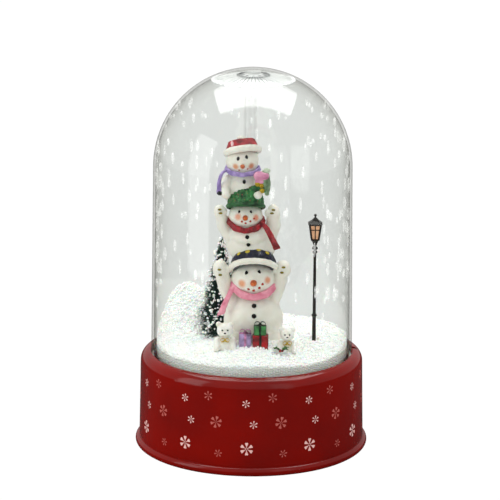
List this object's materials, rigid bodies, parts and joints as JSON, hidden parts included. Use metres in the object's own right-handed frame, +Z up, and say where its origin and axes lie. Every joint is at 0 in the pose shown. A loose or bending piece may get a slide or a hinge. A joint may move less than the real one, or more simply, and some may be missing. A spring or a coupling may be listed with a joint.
{
  "type": "snow globe",
  "caption": "Tall clear dome on a round glossy red base with printed snowflakes, holding stacked snowmen, a tree, a lamp post and loose foam snow, with a blower underneath.",
  "frame": {"origin": "centre of the base on the table plane, under the dome's axis", "axes": "+Z up along the dome's axis, front of the figures towards -Y, +X to the viewer's right"},
  "size_m": [0.201, 0.201, 0.33],
  "materials": {
    "red_shell": "moulded ABS with a glossy red lacquer",
    "foot_rubber": "matt moulded rubber",
    "zinc_steel": "zinc plated",
    "white_tray": "moulded white polystyrene",
    "seal_silicone": "translucent silicone",
    "dome_clear": "polished clear styrene",
    "deflector_clear": "clear moulded styrene with ribs",
    "tube_clear": "clear extruded tube",
    "grey_housing": "moulded ABS",
    "white_nylon": "moulded nylon",
    "polished_steel": "ground shaft",
    "motor_can": "drawn and plated can",
    "black_plastic": "moulded ABS",
    "cell_sleeve": "printed shrink sleeve",
    "nickel_strip": "nickel plated",
    "grey_steel": "black painted pressing",
    "speaker_paper": "pressed paper cone",
    "board_green": "solder resist on glass laminate",
    "lead_insulation": "PVC insulation",
    "resin_white": "painted polyresin",
    "snow_foam": "expanded polystyrene beads",
    "hat_navy": "painted polyresin",
    "hat_green": "painted polyresin",
    "hat_red": "painted polyresin",
    "scarf_pink": "painted polyresin",
    "scarf_red": "painted polyresin",
    "scarf_lavender": "painted polyresin",
    "stocking_pink": "painted polyresin",
    "gift_paint": "painted polyresin",
    "holly_green": "painted polyresin",
    "tree_bristle": "PVC bristles with white tips",
    "tree_wood": "turned wood foot with twisted wire",
    "lamp_black": "gloss black paint on die casting",
    "lantern_glow": "frosted pane lit from inside"
  },
  "bodies": {
    "base": {"base_shell": "red_shell", "bottom_cover": "red_shell", "rubber_feet": "foot_rubber", "cover_screws": "zinc_steel", "tray_screws": "zinc_steel", "snow_tray": "white_tray", "dome_seal": "seal_silicone", "riser_tube": "tube_clear", "blower_upper_housing": "grey_housing", "blower_lower_housing": "grey_housing", "blower_screws": "zinc_steel", "motor": "motor_can", "motor_end_cap": "black_plastic", "motor_screws": "zinc_steel", "battery_box": "black_plastic", "batteries": "cell_sleeve", "battery_contacts": "nickel_strip", "battery_springs": "nickel_strip", "speaker_basket": "grey_steel", "speaker_cone": "speaker_paper", "circuit_board": "board_green", "board_components": "black_plastic", "switch_body": "nickel_strip", "dc_inlet": "black_plastic", "dc_contact": "nickel_strip", "wiring": "lead_insulation", "resin_ground": "resin_white", "snow_bed": "snow_foam", "snowman_bottom": "resin_white", "hat_bottom": "hat_navy", "scarf_bottom": "scarf_pink", "snowman_middle": "resin_white", "hat_middle": "hat_green", "scarf_middle": "scarf_red", "snowman_top": "resin_white", "hat_top": "hat_red", "scarf_top": "scarf_lavender", "stocking": "stocking_pink", "gift_boxes": "gift_paint", "bear_figures": "resin_white", "holly_sprig": "holly_green", "tree_foliage": "tree_bristle", "tree_trunk": "tree_wood", "lamp_post": "lamp_black", "lantern_frame": "lamp_black", "lantern_panes": "lantern_glow", "lamp_led": "lantern_glow"},
    "dome": {"dome": "dome_clear", "deflector": "deflector_clear"},
    "impeller": {"impeller": "white_nylon", "motor_shaft": "polished_steel"},
    "switch_knob": {"switch_knob": "black_plastic"},
    "battery_door": {"battery_door": "red_shell"}
  },
  "joints": [
    {"name": "dome_lift", "type": "slide", "parent": "base", "child": "dome", "axis": [0, 0, 1], "range_m": [0, 0.25]},
    {"name": "impeller_spin", "type": "hinge", "parent": "base", "child": "impeller", "pos_m": [0.03, 0.038, 0.05], "axis": [0, 0, 1], "continuous": true},
    {"name": "mode_switch", "type": "slide", "parent": "base", "child": "switch_knob", "axis": [-0.9272, 0.3746, 0], "range_m": [0, 0.008]},
    {"name": "battery_door_swing", "type": "hinge", "parent": "base", "child": "battery_door", "pos_m": [-0.004, -0.0121, 0.0024], "axis": [1, 0, 0], "range_deg": [0, 100]}
  ]
}
